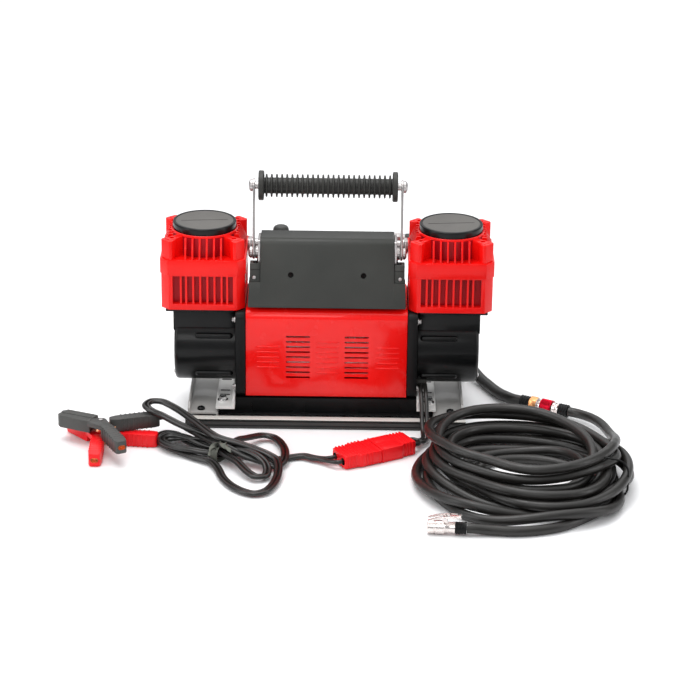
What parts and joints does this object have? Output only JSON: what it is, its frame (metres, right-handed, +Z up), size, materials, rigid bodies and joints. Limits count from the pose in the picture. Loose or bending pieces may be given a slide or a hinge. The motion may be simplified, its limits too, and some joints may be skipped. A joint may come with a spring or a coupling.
{
  "type": "portable twin-cylinder air compressor",
  "caption": "Portable 12 V air compressor: finned cylinder heads on each side of a motor, carry handle, base frame, coiled air hose, plug-in battery lead with clamps.",
  "frame": {"origin": "on the floor under the middle of the motor: the bottom centre of the compressor without its cords", "axes": "+X to the right along the motor shaft as seen from the front, +Y to the rear, +Z up"},
  "size_m": [0.6234, 0.4483, 0.28],
  "materials": {
    "red_paint": "gloss",
    "black_paint": "semi-gloss",
    "grey_plastic": "satin",
    "frame_paint": "satin powder coat",
    "zinc": "zinc plated",
    "steel": "machined",
    "aluminium": "machined",
    "copper": "machined copper",
    "brass": "bright",
    "rubber": "satin",
    "red_plastic": "satin",
    "clamp_grip": "satin vinyl",
    "chrome": "polished",
    "red_anodised": "anodised",
    "cord_jacket": "satin"
  },
  "bodies": {
    "compressor": {"front_rail": "frame_paint", "rear_rail": "frame_paint", "side_channel_left": "frame_paint", "side_channel_right": "frame_paint", "motor_cradle": "black_paint", "mount_bracket_left": "zinc", "mount_bracket_right": "zinc", "end_plate_left": "black_paint", "end_plate_right": "black_paint", "motor_cover": "red_paint", "motor_can": "steel", "crankcase_left": "black_paint", "crankcase_right": "black_paint", "cylinder_left": "steel", "cylinder_right": "steel", "cylinder_head_left": "red_paint", "cylinder_head_right": "red_paint", "head_cap_left": "grey_plastic", "head_cap_right": "grey_plastic", "air_manifold": "zinc", "top_cover": "grey_plastic", "handle_bracket_left": "zinc", "handle_bracket_right": "zinc", "pressure_switch": "grey_plastic", "bearing_left": "steel", "bearing_right": "steel", "connector_unit_half": "red_plastic", "connector_battery_half": "red_plastic", "supply_lead": "cord_jacket", "battery_lead": "cord_jacket", "lead_hank": "cord_jacket", "black_clamp_lead": "cord_jacket", "red_clamp_lead": "cord_jacket", "black_clamp_body": "clamp_grip", "red_clamp_body": "red_plastic", "leader_hose": "rubber", "coupler_body": "brass", "hose_plug": "chrome", "air_hose_start": "rubber", "hose_coil": "rubber", "air_hose_tail": "rubber", "chuck_body": "chrome"},
    "rotor": {"motor_shaft": "steel", "armature": "steel", "commutator": "copper", "cooling_fan": "grey_plastic", "crank_left": "steel", "crank_right": "steel"},
    "piston_left_body": {"piston_left": "aluminium"},
    "piston_right_body": {"piston_right": "aluminium"},
    "handle": {"handle_arm_left": "zinc", "handle_arm_right": "zinc", "handle_rod": "zinc", "handle_grip": "rubber"},
    "switch_rocker": {"power_switch": "grey_plastic"},
    "black_jaw": {"black_clamp_jaw": "clamp_grip"},
    "red_jaw": {"red_clamp_jaw": "red_plastic"},
    "coupler_ring": {"coupler_sleeve": "red_anodised"},
    "lever": {"chuck_lever": "chrome"}
  },
  "joints": [
    {"name": "rotor_spin", "type": "hinge", "parent": "compressor", "child": "rotor", "pos_m": [0, 0, 0.075], "axis": [1, 0, 0], "continuous": true},
    {"name": "piston_left_stroke", "type": "slide", "parent": "compressor", "child": "piston_left_body", "axis": [0, 0, 1], "range_m": [-0.012, 0.012]},
    {"name": "piston_right_stroke", "type": "slide", "parent": "compressor", "child": "piston_right_body", "axis": [0, 0, 1], "range_m": [-0.012, 0.012]},
    {"name": "handle_tilt", "type": "hinge", "parent": "compressor", "child": "handle", "pos_m": [0, -0.012, 0.1885], "axis": [1, 0, 0], "range_deg": [-22, 22]},
    {"name": "switch_rock", "type": "hinge", "parent": "compressor", "child": "switch_rocker", "pos_m": [0, 0.002, 0.1655], "axis": [1, 0, 0], "range_deg": [-8, 8]},
    {"name": "black_clamp_open", "type": "hinge", "parent": "compressor", "child": "black_jaw", "pos_m": [-0.247, -0.124, 0.0235], "axis": [0, 0, 1], "range_deg": [0, 28], "stiffness_Nm_per_rad": 0.6, "springref_deg": -20.05},
    {"name": "red_clamp_open", "type": "hinge", "parent": "compressor", "child": "red_jaw", "pos_m": [-0.25, -0.118, 0.0079], "axis": [0, 0, 1], "range_deg": [0, 28], "stiffness_Nm_per_rad": 0.6, "springref_deg": -20.05},
    {"name": "coupler_release", "type": "slide", "parent": "compressor", "child": "coupler_ring", "axis": [-0.8763, 0.4818, 0], "range_m": [0, 0.004], "stiffness_N_per_m": 900, "springref_m": -0.004},
    {"name": "chuck_lever_lift", "type": "hinge", "parent": "compressor", "child": "lever", "pos_m": [0.12624, -0.33745, 0.0186], "axis": [0.0785, 0.9969, 0], "range_deg": [0, 15], "stiffness_Nm_per_rad": 0.02, "springref_deg": -17.19}
  ]
}
